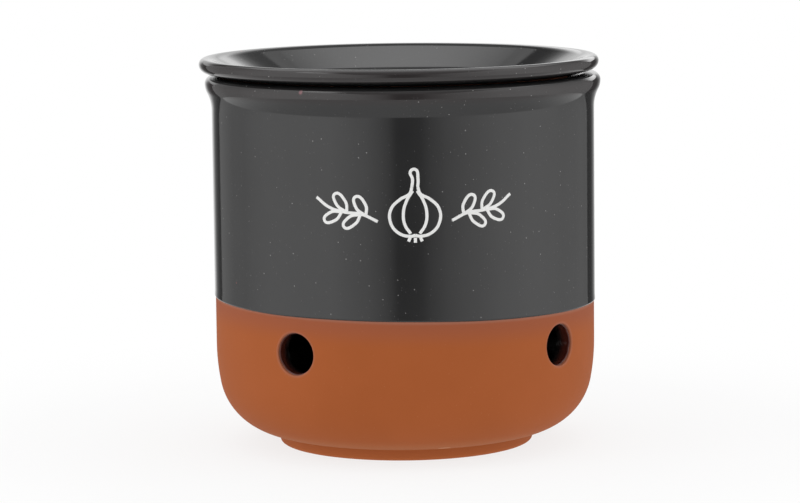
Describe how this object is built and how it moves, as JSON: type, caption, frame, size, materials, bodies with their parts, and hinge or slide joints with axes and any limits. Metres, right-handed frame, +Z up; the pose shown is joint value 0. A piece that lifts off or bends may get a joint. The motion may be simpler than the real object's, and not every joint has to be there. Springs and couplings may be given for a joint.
{
  "type": "garlic keeper",
  "caption": "Round terracotta storage pot with air vents above its foot, a dark dip glaze on its upper part and a loose dished lid.",
  "frame": {"origin": "centre of the flat face that the foot ring stands on", "axes": "+Z up along the pot's axis, front of the pot towards -Y, +X to the right seen from the front"},
  "size_m": [0.1296, 0.129, 0.1253],
  "materials": {
    "terracotta": "bare fired earthenware, matt and finely grained",
    "charcoal_glaze": "glossy charcoal glaze with a few pale specks",
    "liner_glaze": "glossy dark glaze inside the pot"
  },
  "bodies": {
    "pot": {"pot_body": "terracotta", "pot_glaze": "charcoal_glaze", "liner_glaze": "liner_glaze"},
    "lid": {"lid_body": "terracotta", "lid_glaze": "charcoal_glaze"}
  },
  "joints": [
    {"name": "lid_lift", "type": "slide", "parent": "pot", "child": "lid", "axis": [0, 0, 1], "range_m": [0, 0.1]}
  ]
}
